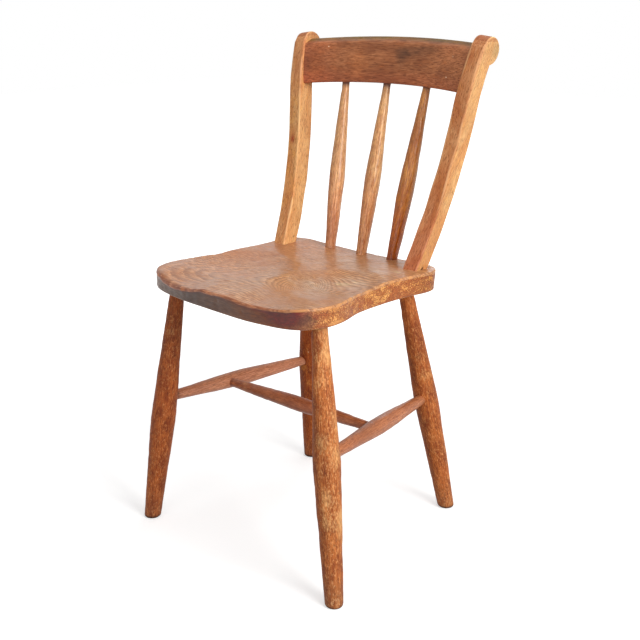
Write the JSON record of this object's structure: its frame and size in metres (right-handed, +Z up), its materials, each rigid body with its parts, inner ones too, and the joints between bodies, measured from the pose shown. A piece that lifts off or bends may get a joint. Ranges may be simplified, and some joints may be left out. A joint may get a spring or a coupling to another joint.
{
  "type": "worn wooden stick back chair",
  "caption": "Worn wooden side chair with a dished plank seat, splayed turned legs and stretchers, and a stick back with a bowed crest rail.",
  "frame": {"origin": "on the floor, under the middle of the whole chair's box", "axes": "+Z up, -Y towards the seat's front edge, +X to the right of a viewer who faces the front"},
  "size_m": [0.442, 0.4378, 0.8048],
  "materials": {
    "seat_wood": "worn varnish, greyed and rubbed through",
    "leg_wood": "worn varnish with pale flecks and dirty feet",
    "stretcher_wood": "worn varnish with pale flecks",
    "post_wood": "varnish, rubbed bright on the arrises",
    "rail_wood": "dark red-brown varnish, greyed where it is handled",
    "spindle_wood": "half-gloss varnish"
  },
  "bodies": {
    "root": {"seat": "seat_wood", "front_leg_left": "leg_wood", "front_leg_right": "leg_wood", "back_leg_left": "leg_wood", "back_leg_right": "leg_wood", "side_stretcher_left": "stretcher_wood", "side_stretcher_right": "stretcher_wood", "cross_stretcher": "stretcher_wood", "back_post_left": "post_wood", "back_post_right": "post_wood", "crest_rail": "rail_wood", "spindle_left": "spindle_wood", "spindle_middle": "spindle_wood", "spindle_right": "spindle_wood"}
  },
  "joints": []
}
